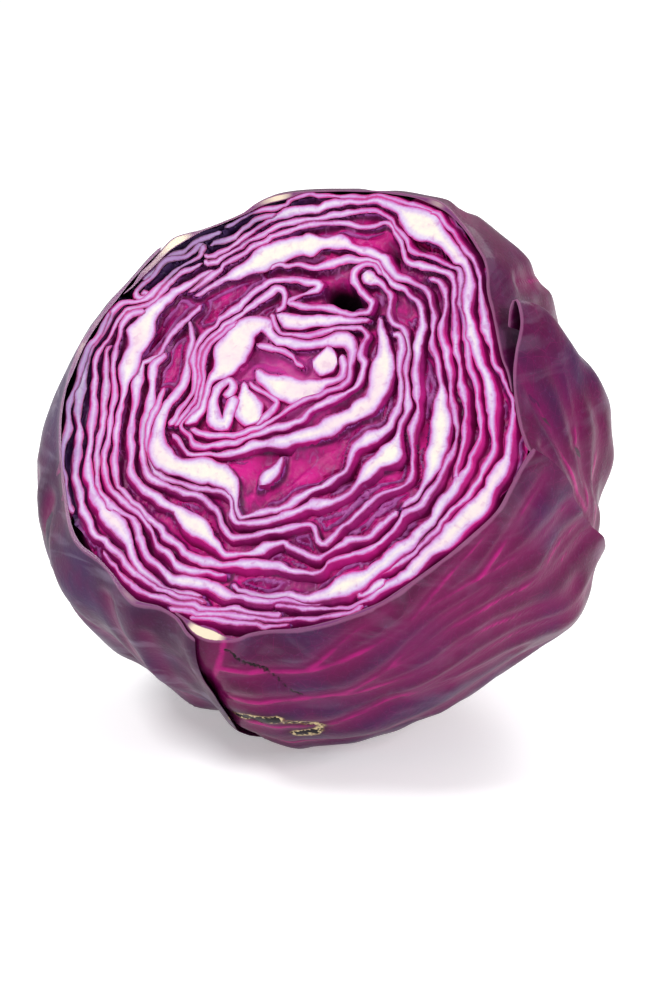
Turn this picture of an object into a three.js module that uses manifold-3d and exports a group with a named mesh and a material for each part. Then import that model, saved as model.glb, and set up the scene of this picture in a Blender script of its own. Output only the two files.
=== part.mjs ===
// A head of red cabbage with its top sliced off: wrapper leaves outside, tightly folded head leaves
// inside them, small heart leaves in the middle and the stem with its core behind.
// Millimetres, +Z up. The cut face looks up towards -Y and the stem points down towards +Y.

import * as THREE from 'three';
import { mergeVertices } from 'three/addons/utils/BufferGeometryUtils.js';
import Module from 'manifold-3d';

const HEAD_RADIUS = 82.5;
const CUT_DISTANCE = 44;          // from the middle of the head to the cut face
const CUT_ELEVATION = 40.4;       // degrees, how far the cut face's normal is raised
const FLAT_DEPTH = 3.2;           // how much of the round underside is worn flat where it rests
const WHORL = { right: -4, up: 6 };   // the whorl's middle on the cut face

const STATION = 15;               // degrees between the stations round the whorl
const ROWS = [0, 0.12, 0.3, 0.5, 0.7, 0.87, 1];   // shares of a leaf's depth
const LEAF_GAP = 0.45;
const THINNEST = 1.2;
const LEAF_BASE = 0.97;           // how close to its closing point a leaf reaches

const HEART_MIDDLE = 18;          // depth at which the innermost leaves are widest
const HEART_REACH = 44;           // from there to where they close on the core

const STEM_RADIUS = 14.5;
const STEM_END = 131;             // depth of the stem's cut end below the cut face
const STEM_COLLAR = 124;          // depth at which the core starts to taper
const CORE_TAPER = 0.24;
const CORE_TIP = 67;

// How far the head's edge lies from the whorl's middle, by angle round the cut face.
const FACE_EDGE = [
  [0, 72], [13, 67], [25, 67], [40, 70.5], [60, 74], [80, 67], [100, 64], [115, 60], [135, 62],
  [160, 62], [180, 65], [200, 67], [222, 71], [235, 72], [247, 75], [265, 77], [280, 73],
  [295, 73], [314, 72], [335, 75], [352, 77],
];
// The same for the round body below the face, which is leaner low down on both sides.
const BODY_EDGE = [
  [0, 70], [180, 69], [225, 66.5], [270, 70], [315, 66.5],
];

// Wrapper leaves: first and last station, share of the head's edge, blade thickness, rib.
const WRAPPERS = [
  { from: 240, to: 360, share: 1, blade: 1.8, rib: 267, thick: 7, width: 30 },
  { from: 345, to: 390, share: 0.97, blade: 1.5, rib: 10, thick: 1.5, width: 20 },
  { from: 135, to: 270, share: 1, blade: 1.8, rib: 226, thick: 3.5, width: 20 },
  { from: 0, to: 150, share: 1, blade: 1.5, rib: 130, thick: 3.2, width: 16 },
];
const HEAD_LEAVES = [
  { from: 285, to: 600, rib: 337, thick: 6, width: 22 },
  { from: 15, to: 315, rib: 57, thick: 7, width: 22 },
  { from: 150, to: 465, rib: 300, thick: 4.5, width: 20 },
  { from: 45, to: 345, rib: 226, thick: 5, width: 16 },
  { from: 90, to: 420, rib: 161, thick: 7, width: 20 },
  { from: 240, to: 555, rib: 380, thick: 4, width: 24 },
  { from: 30, to: 345, rib: 97, thick: 7, width: 26 },
  { from: 270, to: 570, rib: 353, thick: 6.5, width: 20 },
  { from: 120, to: 435, rib: 246, thick: 6.5, width: 18 },
  { from: 285, to: 585, rib: 390, thick: 4, width: 20 },
  { from: 105, to: 405, rib: 180, thick: 3, width: 20 },
  { from: 240, to: 540, rib: 334, thick: 6.5, width: 18 },
  { from: 120, to: 420, rib: 222, thick: 6.5, width: 28 },
  { from: 315, to: 570, rib: 380, thick: 6.5, width: 28 },
];
const HEART_LEAVES = [
  { from: 30, to: 210, rib: 80, thick: 3, width: 24 },
  { from: 195, to: 435, rib: 240, thick: 3, width: 24 },
  { from: 0, to: 240, rib: 150, thick: 4.5, width: 24 },
  { from: 210, to: 450, rib: 280, thick: 3, width: 24 },
  { from: 30, to: 270, rib: 80, thick: 3, width: 24 },
  { from: 195, to: 525, rib: 360, thick: 6, width: 165, blade: 5 },
];
const HEAD_SHARES = { outer: 0.945, inner: 0.4 };
const HEART_SHARES = { outer: 0.36, inner: 0.13 };
const HEAD_BLADE = 1.7;
const HEART_BLADE = 1.5;

const HEAD_MIDDLE = new THREE.Vector3(0, 0, HEAD_RADIUS - FLAT_DEPTH);
const elevation = THREE.MathUtils.degToRad(CUT_ELEVATION);
const FACE_NORMAL = new THREE.Vector3(0, -Math.cos(elevation), Math.sin(elevation));
const FACE_UP = new THREE.Vector3(0, Math.sin(elevation), Math.cos(elevation));
const FACE_RIGHT = new THREE.Vector3(1, 0, 0);

const wrap = (degrees) => ((degrees % 360) + 360) % 360;

// A smooth value at any angle, between [angle, value] knots that go once round.
function around(knots, degrees) {
  const angle = wrap(degrees);
  let after = knots.findIndex((knot) => knot[0] > angle);
  if (after < 0) after = knots.length;
  const [startAngle, startValue] = knots[after - 1];
  const [endAngle, endValue] = after < knots.length ? knots[after] : [360, knots[0][1]];
  const share = THREE.MathUtils.smoothstep(angle, startAngle, endAngle);
  return THREE.MathUtils.lerp(startValue, endValue, share);
}

// A point of the head: right and up on the face, then straight down below the face.
function headPoint(right, up, depth) {
  return HEAD_MIDDLE.clone()
    .addScaledVector(FACE_NORMAL, CUT_DISTANCE - depth)
    .addScaledVector(FACE_RIGHT, right)
    .addScaledVector(FACE_UP, up);
}

// Leaves are nested shells. A shell passes through the cut face at the given angle and radius,
// swells below it as the head does, and closes in on the core; depthShare runs along it.
function shellPoint(degrees, radius, depthShare) {
  const share = radius / around(FACE_EDGE, degrees);
  const middle = THREE.MathUtils.lerp(HEART_MIDDLE, CUT_DISTANCE, share);
  const reach = THREE.MathUtils.lerp(HEART_REACH, HEAD_RADIUS, share);
  const depth = depthShare * (middle + LEAF_BASE * reach);
  const swell = Math.sqrt(1 - ((depth - middle) / reach) ** 2) / Math.sqrt(1 - (middle / reach) ** 2);
  const below = THREE.MathUtils.smoothstep(depth, 0, CUT_DISTANCE);
  const edge = THREE.MathUtils.lerp(around(FACE_EDGE, degrees), around(BODY_EDGE, degrees), below);
  const distance = share * edge * swell;
  const angle = THREE.MathUtils.degToRad(degrees);
  return headPoint(
    WHORL.right * (1 - below) + distance * Math.cos(angle),
    WHORL.up * (1 - below) + distance * Math.sin(angle),
    depth,
  );
}

// Blade thickness at an angle, with the rounded midrib added.
function thicknessAt(leaf, degrees) {
  const off = Math.abs(degrees - leaf.rib) / leaf.width;
  const rib = off < 1 ? (1 + Math.cos(Math.PI * off)) / 2 : 0;
  return leaf.blade + (leaf.thick - leaf.blade) * rib;
}

// Each leaf lies inside the ones before it: at every station it starts a gap inside them.
const innermost = new Map();
function settle(leaf) {
  leaf.outer = [];
  leaf.inner = [];
  for (let degrees = leaf.from; degrees <= leaf.to; degrees += STATION) {
    const station = wrap(degrees);
    const wanted = leaf.share * around(FACE_EDGE, degrees);
    const room = innermost.has(station) ? innermost.get(station) - LEAF_GAP : wanted;
    const outer = Math.min(wanted, room);
    const spare = Math.max(THINNEST, outer - leaf.floor * around(FACE_EDGE, degrees));
    const inner = outer - Math.min(thicknessAt(leaf, degrees), spare);
    leaf.outer.push(outer);
    leaf.inner.push(inner);
    innermost.set(station, inner);
  }
}

// A box's back face splits its squares along the other diagonal than its front face does.
// Splitting both alike keeps the facets of neighbouring leaves apart.
function alignInnerFace(slab) {
  const back = slab.groups[5];
  const index = slab.index;
  for (let i = back.start; i < back.start + back.count; i += 6) {
    const [a, b, d, c] = [index.getX(i), index.getX(i + 1), index.getX(i + 2), index.getX(i + 4)];
    [a, b, c, a, c, d].forEach((corner, k) => index.setX(i + k, corner));
  }
}

// A leaf is a thin slab bent round the whorl and down along its shell.
function leafGeometry(leaf) {
  const columns = (leaf.to - leaf.from) / STATION;
  const rows = ROWS.length - 1;
  const slab = new THREE.BoxGeometry(1, 1, 1, columns, rows, 1);
  const place = slab.attributes.position;
  for (let i = 0; i < place.count; i += 1) {
    const column = Math.round((place.getX(i) + 0.5) * columns);
    const row = Math.round((0.5 - place.getY(i)) * rows);
    const radius = place.getZ(i) > 0 ? leaf.outer[column] : leaf.inner[column];
    const point = shellPoint(leaf.from + column * STATION, radius, ROWS[row]);
    place.setXYZ(i, point.x, point.y, point.z);
  }
  alignInnerFace(slab);
  return slab;
}

// The stem and the core it runs into, turned about the head's axis.
function coreGeometry() {
  const tipRadius = STEM_RADIUS - CORE_TAPER * (STEM_COLLAR - CORE_TIP);
  const profile = [
    new THREE.Vector2(0, -STEM_END),
    new THREE.Vector2(STEM_RADIUS - 1, -STEM_END),
    new THREE.Vector2(STEM_RADIUS, -STEM_END + 1.5),
    new THREE.Vector2(STEM_RADIUS, -STEM_COLLAR),
    new THREE.Vector2((STEM_RADIUS + tipRadius) / 2, -(STEM_COLLAR + CORE_TIP) / 2),
    new THREE.Vector2(tipRadius, -CORE_TIP),
    new THREE.Vector2(0, -CORE_TIP + 0.5),
  ];
  const turned = new THREE.LatheGeometry(profile, 20);
  const axis = new THREE.Matrix4().makeBasis(
    FACE_RIGHT,
    FACE_NORMAL,
    FACE_RIGHT.clone().cross(FACE_NORMAL),
  );
  const top = headPoint(0, 0, 0);
  return turned.applyMatrix4(axis.setPosition(top));
}

// Shared vertices, as the solid modeller needs them.
function welded(geometry) {
  geometry.deleteAttribute('normal');
  geometry.deleteAttribute('uv');
  return mergeVertices(geometry, 1e-4);
}

const wasm = await Module();
wasm.setup();

function solid(geometry) {
  const shared = welded(geometry);
  return new wasm.Manifold(new wasm.Mesh({
    numProp: 3,
    vertProperties: new Float32Array(shared.attributes.position.array),
    triVerts: new Uint32Array(shared.index.array),
  }));
}

// Everything below the ground plane is worn off, which leaves the flat spot.
function restingFlat(geometry) {
  const size = 4 * HEAD_RADIUS;
  const below = new THREE.BoxGeometry(size, size, size).translate(0, 0, -size / 2);
  const worn = solid(geometry).subtract(solid(below)).getMesh();
  const result = new THREE.BufferGeometry();
  result.setAttribute('position', new THREE.BufferAttribute(worn.vertProperties, 3));
  result.setIndex(new THREE.BufferAttribute(worn.triVerts, 1));
  return result;
}

const skin = (colour, roughness) => new THREE.MeshStandardMaterial({
  color: colour,
  roughness,
  metalness: 0,
});

const pieces = [];
function addLeaves(label, leaves, shares, blade, colour, roughness) {
  leaves.forEach((leaf, index) => {
    const place = leaves.length > 1 ? index / (leaves.length - 1) : 0;
    leaf.share ??= THREE.MathUtils.lerp(shares.outer, shares.inner, place);
    leaf.blade ??= blade;
    leaf.floor = leaf.share - shares.spare;
    settle(leaf);
    pieces.push({
      name: `${label}_${String(index + 1).padStart(2, '0')}`,
      geometry: leafGeometry(leaf),
      material: skin(colour, roughness),
    });
  });
}

addLeaves('wrapper_leaf', WRAPPERS, { spare: 0.12 }, HEAD_BLADE, 0x50325a, 0.45);
addLeaves('head_leaf', HEAD_LEAVES, { ...HEAD_SHARES, spare: 0.12 }, HEAD_BLADE, 0xb05a98, 0.5);
addLeaves('heart_leaf', HEART_LEAVES, { ...HEART_SHARES, spare: 0.07 }, HEART_BLADE, 0xe8d8e6, 0.5);
pieces[0].geometry = restingFlat(pieces[0].geometry);
pieces.push({ name: 'stem_core', geometry: coreGeometry(), material: skin(0xe6dcc8, 0.6) });

const cabbage = new THREE.Group();
pieces.forEach(({ name, geometry, material }) => {
  const mesh = new THREE.Mesh(geometry, material);
  mesh.name = name;
  cabbage.add(mesh);
});

// The origin is the middle of the underside.
const box = new THREE.Box3().setFromObject(cabbage);
const middle = box.getCenter(new THREE.Vector3());
cabbage.position.set(-middle.x, -middle.y, -box.min.z);

export default cabbage;
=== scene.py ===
import math

import bmesh
import bpy
import numpy as np
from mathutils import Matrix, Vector, kdtree


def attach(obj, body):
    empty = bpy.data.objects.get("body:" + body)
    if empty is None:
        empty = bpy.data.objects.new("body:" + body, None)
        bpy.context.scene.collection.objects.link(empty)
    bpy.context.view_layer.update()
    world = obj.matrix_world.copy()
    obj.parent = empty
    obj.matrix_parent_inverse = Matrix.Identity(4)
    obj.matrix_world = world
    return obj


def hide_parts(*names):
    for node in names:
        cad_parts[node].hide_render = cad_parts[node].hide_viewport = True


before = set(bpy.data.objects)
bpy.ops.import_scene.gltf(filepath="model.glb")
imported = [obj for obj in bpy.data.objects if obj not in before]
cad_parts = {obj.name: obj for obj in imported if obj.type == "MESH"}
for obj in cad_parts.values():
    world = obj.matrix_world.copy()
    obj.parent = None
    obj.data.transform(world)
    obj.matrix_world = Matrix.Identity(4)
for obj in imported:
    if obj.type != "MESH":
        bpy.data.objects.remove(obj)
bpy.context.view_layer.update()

# ---------------------------------------------------------------- heart leaves
# The smallest leaves, folded hard against each other in the middle of the head and thick
# for their size. A straight cut has sliced the top off the whole head and so shows them in
# section: everything is placed on that cut face, right and up along it, then down below it.
MM = 0.001
HEAD_RADIUS = 82.5
CUT_DISTANCE = 44.0
CUT_ELEVATION = math.radians(40.4)
HEAD_MIDDLE = np.array((-0.56, -1.75, 79.3))
FACE_NORMAL = np.array((0, -math.cos(CUT_ELEVATION), math.sin(CUT_ELEVATION)))
FACE_RIGHT = np.array((1.0, 0, 0))
FACE_UP = np.array((0, math.sin(CUT_ELEVATION), math.cos(CUT_ELEVATION)))
WHORL = (-4.0, 6.0)
HEART_MIDDLE = 18.0
HEART_REACH = 44.0
LEAF_BASE = 0.97
FULL_TURN = 6.283

# distance of the head's edge from the whorl's middle by angle, on the face and below it
FACE_EDGE = [
    (0, 72), (13, 67), (25, 67), (40, 70.5), (60, 74), (80, 67), (100, 64), (115, 60), (135, 62),
    (160, 62), (180, 65), (200, 67), (222, 71), (235, 72), (247, 75), (265, 77), (280, 73),
    (295, 73), (314, 72), (335, 75), (352, 77),
]
BODY_EDGE = [(0, 70), (180, 69), (225, 66.5), (270, 70), (315, 66.5)]
# where the head swells or is pressed in: angle, spread, amount, depth it starts and is whole at
DENTS = [(32, 9, -6, 8, 32), (50, 9, 3, 5, 30), (209, 24, 5.5, 2, 16), (341, 15, 5, 30, 60)]


def around(knots, degrees):
    """A smooth value at any angle, between knots that go once round."""
    angle = np.mod(degrees, 360)
    at = np.array([k[0] for k in knots] + [360.0])
    value = np.array([k[1] for k in knots] + [knots[0][1]], float)
    i = np.clip(np.searchsorted(at, angle, side="right") - 1, 0, len(knots) - 1)
    t = (angle - at[i]) / (at[i + 1] - at[i])
    return value[i] + (value[i + 1] - value[i]) * t * t * (3 - 2 * t)


def smooth(x, low, high):
    t = np.clip((x - low) / (high - low), 0, 1)
    return t * t * (3 - 2 * t)


def wave(x, y, z, size, seed):
    """A smooth wandering value between about -1 and 1, from a few crossed ripples."""
    total = 0
    rng = np.random.default_rng(seed)
    for _ in range(7):
        way = rng.normal(size=3)
        way /= np.linalg.norm(way)
        step = size * rng.uniform(0.7, 1.6)
        along = x * way[0] + y * way[1] + z * way[2]
        total = total + np.sin(along * FULL_TURN / step + rng.uniform(0, FULL_TURN))
    return total / 3.2


def outline(degrees, depth):
    """Radius of the head at an angle and depth, before it rounds off towards the stem."""
    sunk = smooth(depth, 0, CUT_DISTANCE)
    edge = around(FACE_EDGE, degrees) * (1 - sunk) + around(BODY_EDGE, degrees) * sunk
    for angle, spread, amount, start, whole in DENTS:
        turn = np.mod(degrees - angle + 180, 360) - 180
        edge = edge + amount * np.exp(-(turn / spread) ** 2) * smooth(depth, start, whole)
    return edge


def below_face(right, up, share):
    """Where a point of the cut face goes on its way down its leaf, and how deep it is then."""
    dx, dy = right - WHORL[0], up - WHORL[1]
    radius = np.hypot(dx, dy)
    degrees = np.degrees(np.arctan2(dy, dx))
    level = radius / around(FACE_EDGE, degrees)
    middle = HEART_MIDDLE + (CUT_DISTANCE - HEART_MIDDLE) * level
    reach = HEART_REACH + (HEAD_RADIUS - HEART_REACH) * level
    depth = share * (middle + LEAF_BASE * reach)
    swell = np.sqrt(1 - ((depth - middle) / reach) ** 2) / np.sqrt(1 - (middle / reach) ** 2)
    sunk = smooth(depth, 0, CUT_DISTANCE)
    away = level * outline(degrees, depth) * swell
    angle = np.radians(degrees)
    return (WHORL[0] * (1 - sunk) + away * np.cos(angle),
            WHORL[1] * (1 - sunk) + away * np.sin(angle), depth)


def in_frame(right, up, depth):
    """Face coordinates in millimetres to the frame's metres."""
    spot = (HEAD_MIDDLE + np.outer(CUT_DISTANCE - depth, FACE_NORMAL)
            + np.outer(right, FACE_RIGHT) + np.outer(up, FACE_UP))
    spot[:, 2] = np.maximum(spot[:, 2], 0)
    return spot * MM


def crinkled(x, y):
    """The same fine crumpling of the face for every leaf, so that none runs into the next."""
    right, up = x, y
    for size, amount in ((9, 0.5), (4.6, 0.24), (2.7, 0.12)):
        right = right + amount * wave(x, y, 0, size, 31)
        up = up + amount * wave(x, y, 0, size, 41)
    return right, up


def drawn(knots, step):
    """Even points along the smooth line through (right, up, thickness) knots."""
    k = np.array(knots, float)
    k = np.vstack((2 * k[0] - k[1], k, 2 * k[-1] - k[-2]))
    out = []
    for a, b, c, d in zip(k, k[1:], k[2:], k[3:]):
        n = max(2, int(np.hypot(*(c - b)[:2]) / 0.4))
        t = np.linspace(0, 1, n, endpoint=False)[:, None]
        out.append(0.5 * (2 * b + (c - a) * t + (2 * a - 5 * b + 4 * c - d) * t ** 2
                          + (3 * b - a - 3 * c + d) * t ** 3))
    line = np.vstack(out + [k[-2][None]])
    run = np.concatenate(([0], np.cumsum(np.hypot(*np.diff(line[:, :2], axis=0).T))))
    even = np.linspace(0, run[-1], max(4, int(run[-1] / step)))
    return np.column_stack([np.interp(even, run, line[:, i]) for i in range(3)] + [even])


def corners_of(bm, name):
    """A finished bmesh as a mesh, and where its corners lie before they are moved."""
    mesh = bpy.data.meshes.new(name)
    bm.to_mesh(mesh)
    bm.free()
    co = np.empty(len(mesh.vertices) * 3)
    mesh.vertices.foreach_get("co", co)
    return mesh, co.reshape(-1, 3)


def placed(mesh, right, up, depth, **values):
    """Move a mesh's corners to their places and keep what the materials read there."""
    mesh.vertices.foreach_set("co", in_frame(right, up, depth).ravel())
    for name, value in values.items():
        kept = mesh.attributes.new(name, "FLOAT", "POINT")
        kept.data.foreach_set("value", value.astype(np.float32))
    mesh.update()


def bruised(right, up):
    """How far a place is darkened by handling: along the upper left and at the left edge."""
    return np.maximum(smooth(-0.62 * right + 0.78 * up, 44, 66), smooth(-right - 0.1 * up, 50, 66))


def leaf_blade(strips, rows, step, seed, ruffle=1.0, sink=0.0, swell=0.0, marks=None):
    """A leaf cut across: each strip is its section on the face, carried down to the stem."""
    bm = bmesh.new()
    lines = [drawn(knots, step) for knots in strips]
    for number, line in enumerate(lines):
        grid = bmesh.ops.create_grid(bm, x_segments=len(line) - 1, y_segments=rows, size=1)
        for v in grid["verts"]:
            v.co.z = 4 * number
        faces = list({f for v in grid["verts"] for f in v.link_faces})
        bmesh.ops.solidify(bm, geom=faces, thickness=1)
    mesh, co = corners_of(bm, "leaf")
    strip = np.round(co[:, 2] / 4).astype(int)
    across = np.abs(co[:, 2] - 4 * strip)
    right, up, thick, run = (np.zeros(len(co)) for _ in range(4))
    side_x, side_y = np.zeros(len(co)), np.zeros(len(co))
    for number, line in enumerate(lines):
        mine = strip == number
        i = np.round((co[mine, 0] + 1) / 2 * (len(line) - 1)).astype(int)
        tangent = np.gradient(line[:, :2], axis=0)
        tangent /= np.linalg.norm(tangent, axis=1)[:, None]
        ends = np.minimum(line[:, 3], line[-1, 3] - line[:, 3])
        blade = (line[:, 2] * 0.92 + swell) * np.sqrt(np.clip(ends / 0.8 + 0.08, 0, 1))
        right[mine], up[mine] = line[i, 0], line[i, 1]
        thick[mine], run[mine] = blade[i], line[i, 3]
        side_x[mine], side_y[mine] = tangent[i, 1], -tangent[i, 0]
    share = ((1 - co[:, 1]) / 2) ** 1.8
    thick = thick * (1 + 0.22 * wave(run, seed * 51.0 + strip * 7, 0, 11, seed + 3))
    offset = (across - 0.5) * thick
    x, y = right + side_x * offset, up + side_y * offset
    if not marks:
        x, y = crinkled(x, y)
    x, y, depth = below_face(x, y, share)
    extra = {}
    for mark, (tree, fade) in (marks or {}).items():
        found = [tree.find(spot) for spot in zip(x, y, depth)]
        extra[mark] = np.array([f[2] + fade[f[1]] for f in found])
    if marks:
        lift = 0.5 * np.exp(-(extra["vein"] / 1.1) ** 2) + 1.3 * smooth(extra["vein"], 0.5, 7) - 0.8
        lift = (lift - 0.9 * np.exp(-(extra["crack"] / 0.7) ** 2)) * smooth(depth, 0.5, 6)
        radius = np.hypot(x, y) + 1e-6
        x, y = x + x / radius * lift, y + y / radius * lift
    grow = smooth(depth, 1, 30) * ruffle
    x = x + grow * 1.3 * wave(x, y, depth, 34, 11) + grow * 0.45 * wave(x, y, depth, 13, 12)
    y = y + grow * 1.3 * wave(x, y, depth, 34, 21) + grow * 0.45 * wave(x, y, depth, 13, 22)
    lift = sink * (0.5 + 0.5 * wave(run, seed * 37.0 + strip * 9, 0, 26, seed))
    depth = depth + lift * (1 - smooth(depth, 0, 12))
    placed(mesh, x, y, depth, **extra, across=across, blade=thick, run=run, drop=depth,
           bruise=bruised(right, up))
    return mesh


def settled(mesh, name, node, material):
    """A finished leaf: faces outward, smooth with crisp cut edges, standing for its node."""
    bm = bmesh.new()
    bm.from_mesh(mesh)
    bmesh.ops.recalc_face_normals(bm, faces=bm.faces)
    bm.to_mesh(mesh)
    bm.free()
    mesh.polygons.foreach_set("use_smooth", [True] * len(mesh.polygons))
    mesh.set_sharp_from_angle(angle=math.radians(48))
    piece = bpy.data.objects.new(name, mesh)
    bpy.context.collection.objects.link(piece)
    mesh.materials.append(material)
    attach(piece, "root")
    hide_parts(node)


class Sock:
    """One socket of a material, with sums written as Python expressions."""

    def __init__(self, tree, socket):
        self.tree = tree
        self.socket = socket

    def node(self, kind, output=0, settings=None, **inputs):
        """Any node: its inputs by name, or by number as i0, i1 and on; one output comes back."""
        made = self.tree.nodes.new(kind)
        for key, value in (settings or {}).items():
            setattr(made, key, value)
        for key, value in inputs.items():
            place = made.inputs[int(key[1:]) if key[1:].isdigit() else key]
            feed(value, place)
        return Sock(self.tree, made.outputs[output])

    def __add__(self, other):
        return self.node("ShaderNodeMath", 0, {"operation": "ADD"}, i0=self, i1=other)

    def __sub__(self, other):
        return self.node("ShaderNodeMath", 0, {"operation": "SUBTRACT"}, i0=self, i1=other)

    def __rsub__(self, other):
        return self.node("ShaderNodeMath", 0, {"operation": "SUBTRACT"}, i0=other, i1=self)

    def __mul__(self, other):
        return self.node("ShaderNodeMath", 0, {"operation": "MULTIPLY"}, i0=self, i1=other)

    __radd__ = __add__
    __rmul__ = __mul__


def feed(value, place):
    """Link a socket to an input, or set the input to a constant."""
    if isinstance(value, Sock):
        value.tree.links.new(value.socket, place)
    else:
        place.default_value = value


def lesser(first, second):
    return first.node("ShaderNodeMath", 0, {"operation": "MINIMUM"}, i0=first, i1=second)


def ramp(value, low, high):
    return value.node("ShaderNodeMapRange", 0, {"interpolation_type": "SMOOTHSTEP"},
                      i0=value, i1=low, i2=high)


def blend(factor, first, second):
    return factor.node("ShaderNodeMix", 2, {"data_type": "RGBA"}, i0=factor, i6=first, i7=second)


def colour(red, green, blue):
    """An sRGB colour, each 0 to 255, as a shader takes it."""
    return (*(((c / 255 + 0.055) / 1.055) ** 2.4 for c in (red, green, blue)), 1)


def new_material(name):
    material = bpy.data.materials.new(name)
    material.use_nodes = True
    shader = material.node_tree.nodes["Principled BSDF"]
    place = material.node_tree.nodes.new("ShaderNodeTexCoord")
    return shader, Sock(material.node_tree, place.outputs["Object"]), material


def attribute(place, name):
    return place.node("ShaderNodeAttribute", "Fac", {"attribute_name": name})


def noise(place, scale, detail=2.0, distortion=0.0, stretch=None):
    at = place.node("ShaderNodeMapping", Vector=place, Scale=stretch) if stretch else place
    return at.node("ShaderNodeTexNoise", "Fac", Vector=at, Scale=scale, Detail=detail,
                   Distortion=distortion)


def leaf_material(name, skin, deep, tint):
    """Pale flesh, creamy in the ribs and lilac in the blades, between thin purple skins."""
    shader, place, material = new_material(name)
    across = attribute(place, "across")
    blade = attribute(place, "blade")
    drop = attribute(place, "drop")
    inside = lesser(across, 1.0 - across) * blade
    grain = noise(place, 900.0, 3.0)
    cloud = noise(place, 130.0, 3.0, 0.4)
    stain = noise(place, 60.0, 2.0)
    fray = noise(place, 420.0, 4.0, 0.5)
    depth_in = inside + (grain - 0.5) * 0.3 + (cloud - 0.5) * 0.45 + (fray - 0.5) * 0.75
    thick = ramp(inside * 2.0 + (stain - 0.5) * 2.6 + (cloud - 0.5) * 2.0, 1.6, 5.4)
    pale = blend(thick, colour(*tint), colour(226, 218, 204))
    cells = ramp(noise(place, 420.0, 3.0) * 0.6 + grain * 0.4, 0.4, 0.6)
    blush = ramp(stain * 0.5 + noise(place, 28.0, 2.0) * 0.5, 0.44, 0.62)
    pale = blend(blush * 0.3, pale, colour(208, 150, 208))
    pale = blend(cells * (0.32 - thick * 0.2), pale, colour(170, 118, 186))
    pale = blend(ramp(fray, 0.56, 0.7) * (0.45 - thick * 0.25), pale, colour(176, 70, 160))
    pale = blend(ramp(depth_in, 1.2, 0.25), pale, colour(178, 88, 172))
    bruise = ramp(attribute(place, "bruise") + (stain - 0.5) * 1.9 + (cloud - 0.5) * 1.1, 0.45, 1.1)
    pale = blend(bruise * 0.6, pale, colour(104, 88, 138))
    hue = ramp(noise(place, 45.0, 2.0), 0.35, 0.65)
    surface = blend(hue, colour(*skin), colour(*deep))
    streak = ramp(noise(place, 260.0, 4.0, 0.8), 0.35, 0.75)
    surface = blend(streak * 0.3, surface, colour(196, 40, 140))
    # painted shade: the skins between the cut leaves are painted darker the deeper they lie below the cut
    # face
    surface = blend(ramp(drop, 1.0, 6.0), surface, colour(56, 4, 42))
    surface = blend(bruise * 0.8, surface, colour(44, 26, 62))
    cut = ramp(depth_in, 0.14, 0.42) * ramp(drop, 3.5, 1.5)
    feed(blend(cut, surface, pale), shader.inputs["Base Color"])
    height = grain * 0.5 + cloud * 0.5
    bump = place.node("ShaderNodeBump", Height=height, Strength=0.3, Distance=0.0005)
    feed(bump, shader.inputs["Normal"])
    shader.inputs["Roughness"].default_value = 0.5
    shader.inputs["Specular IOR Level"].default_value = 0.35
    return material


heart_skin = leaf_material("heart_leaf_flesh", (194, 16, 132), (146, 10, 106), (204, 186, 216))

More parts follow.
